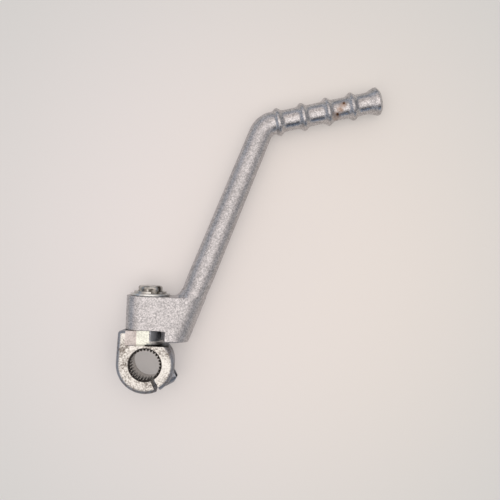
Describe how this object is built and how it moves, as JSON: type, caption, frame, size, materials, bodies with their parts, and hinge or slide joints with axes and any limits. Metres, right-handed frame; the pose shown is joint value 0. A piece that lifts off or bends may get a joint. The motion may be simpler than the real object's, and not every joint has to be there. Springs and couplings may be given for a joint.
{
  "type": "kick start lever",
  "caption": "Folding kick start lever: a splined clamp hub with a pivot post carries a swinging arm, whose round rod bends out to a ringed foot pedal.",
  "frame": {"origin": "on the axis of the splined bore, in the plane of the hub's engine-side face, on which the lever lies", "axes": "+Z along the bore to the outer side, +Y along the pivot post towards the arm, +X to the side where the folded arm and its pedal lie"},
  "size_m": [0.1406, 0.1743, 0.022],
  "materials": {
    "hub_forging": "zinc plated forging, stained, machined on the joint and stop faces",
    "arm_forging": "satin zinc plate on a blasted forging",
    "washer_plate": "bright zinc plate",
    "spring_steel": "bright spring steel",
    "ball_steel": "polished bearing steel",
    "spring_wire": "oiled spring wire"
  },
  "bodies": {
    "hub": {"clamp_hub": "hub_forging", "thrust_washer": "washer_plate", "retaining_ring": "spring_steel", "detent_ball": "ball_steel", "detent_spring": "spring_wire"},
    "arm": {"kick_arm": "arm_forging"}
  },
  "joints": [
    {"name": "arm_fold", "type": "hinge", "parent": "hub", "child": "arm", "pos_m": [0, 0.02765, 0.011], "axis": [0, -1, 0], "range_deg": [0, 90]}
  ]
}
